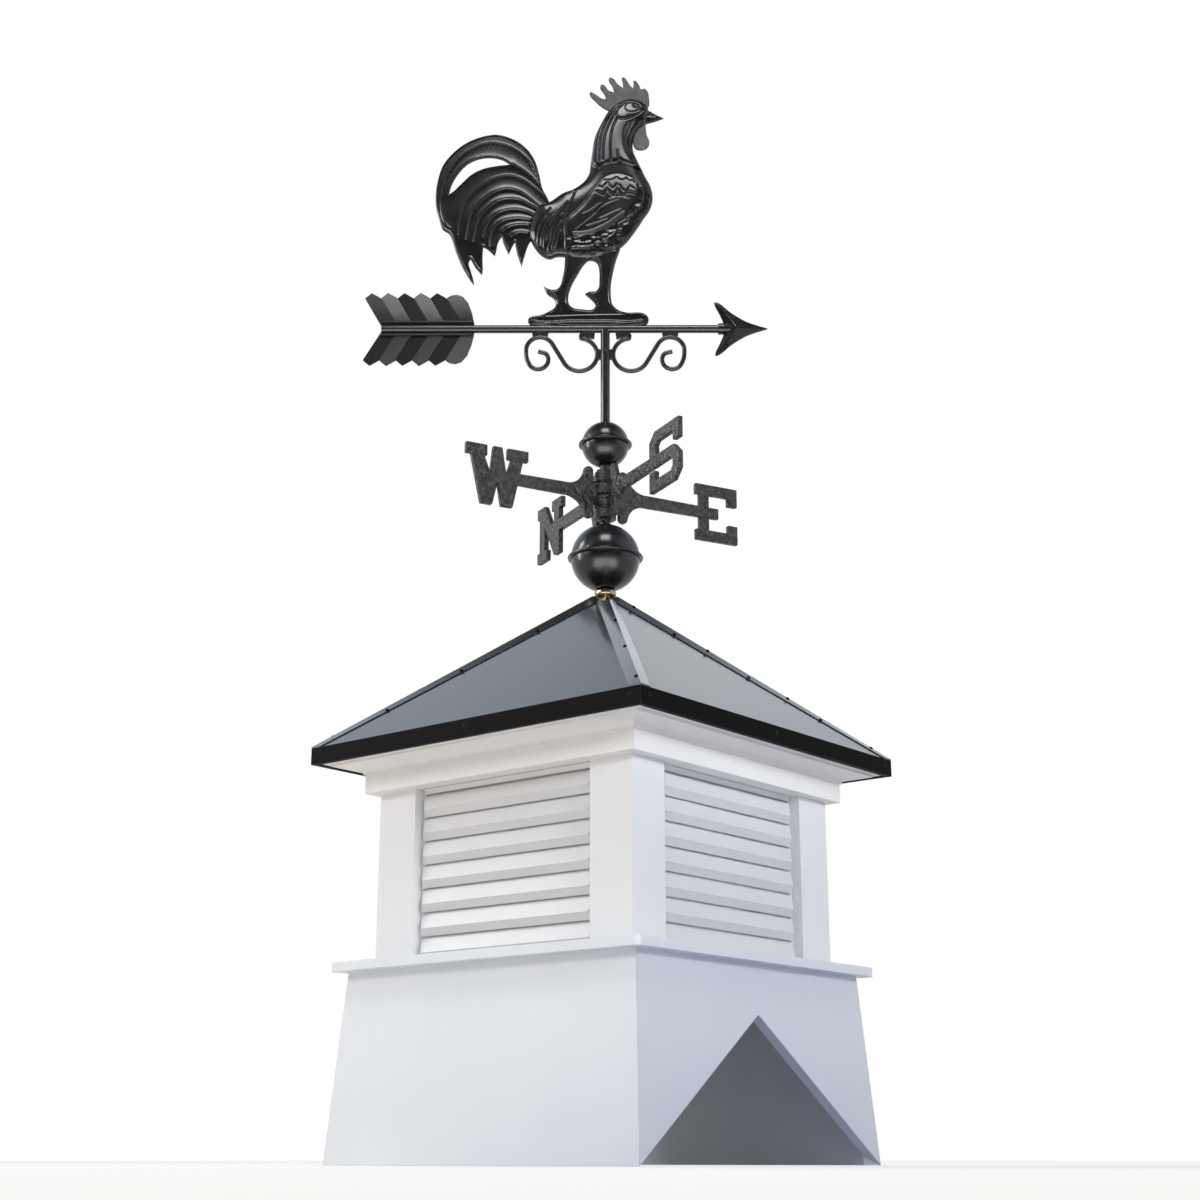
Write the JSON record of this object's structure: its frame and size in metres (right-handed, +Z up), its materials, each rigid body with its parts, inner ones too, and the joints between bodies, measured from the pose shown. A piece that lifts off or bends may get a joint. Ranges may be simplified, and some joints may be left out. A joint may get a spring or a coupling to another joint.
{
  "type": "barn cupola with weathervane",
  "caption": "Square louvered roof cupola on a ridge-straddling base, with a metal pyramid roof and a turning rooster weathervane.",
  "frame": {"origin": "middle of the foot, on the level floor that the front and back base walls stand on", "axes": "+Z up along the spindle; -Y is the front; the barn's ridge runs along X under the notches"},
  "size_m": [0.4572, 0.4572, 1.2937],
  "materials": {
    "white_vinyl": "satin white cellular vinyl",
    "louver_vinyl": "satin moulded white vinyl",
    "roof_metal": "semi-gloss black coated sheet",
    "vane_black": "satin black coating",
    "cast_black": "textured black cast aluminium",
    "collar_copper": "polished copper"
  },
  "bodies": {
    "cupola": {"arm_east": "cast_black", "arm_north": "cast_black", "arm_south": "cast_black", "arm_west": "cast_black", "base_wall_back": "white_vinyl", "base_wall_front": "white_vinyl", "base_wall_left": "white_vinyl", "base_wall_right": "white_vinyl", "crown_back": "white_vinyl", "crown_front": "white_vinyl", "crown_left": "white_vinyl", "crown_right": "white_vinyl", "direction_hub": "cast_black", "drip_edges": "roof_metal", "frieze_back": "white_vinyl", "frieze_front": "white_vinyl", "frieze_left": "white_vinyl", "frieze_right": "white_vinyl", "hip_caps": "roof_metal", "louver_back": "louver_vinyl", "louver_front": "louver_vinyl", "louver_left": "louver_vinyl", "louver_right": "louver_vinyl", "lower_ball": "vane_black", "post_back_left": "white_vinyl", "post_back_right": "white_vinyl", "post_front_left": "white_vinyl", "post_front_right": "white_vinyl", "roof_base": "white_vinyl", "roof_panel_back": "roof_metal", "roof_panel_front": "roof_metal", "roof_panel_left": "roof_metal", "roof_panel_right": "roof_metal", "sill": "white_vinyl", "spindle_rod": "vane_black", "upper_ball": "vane_black", "vane_collar": "collar_copper"},
    "vane": {"arrow_head": "vane_black", "arrow_shaft": "vane_black", "arrow_tail": "vane_black", "rooster": "vane_black", "scrolls": "vane_black", "vane_sleeve": "vane_black"}
  },
  "joints": [
    {"name": "vane_turn", "type": "hinge", "parent": "cupola", "child": "vane", "pos_m": [0, 0, 0.9], "axis": [0, 0, 1], "continuous": true}
  ]
}
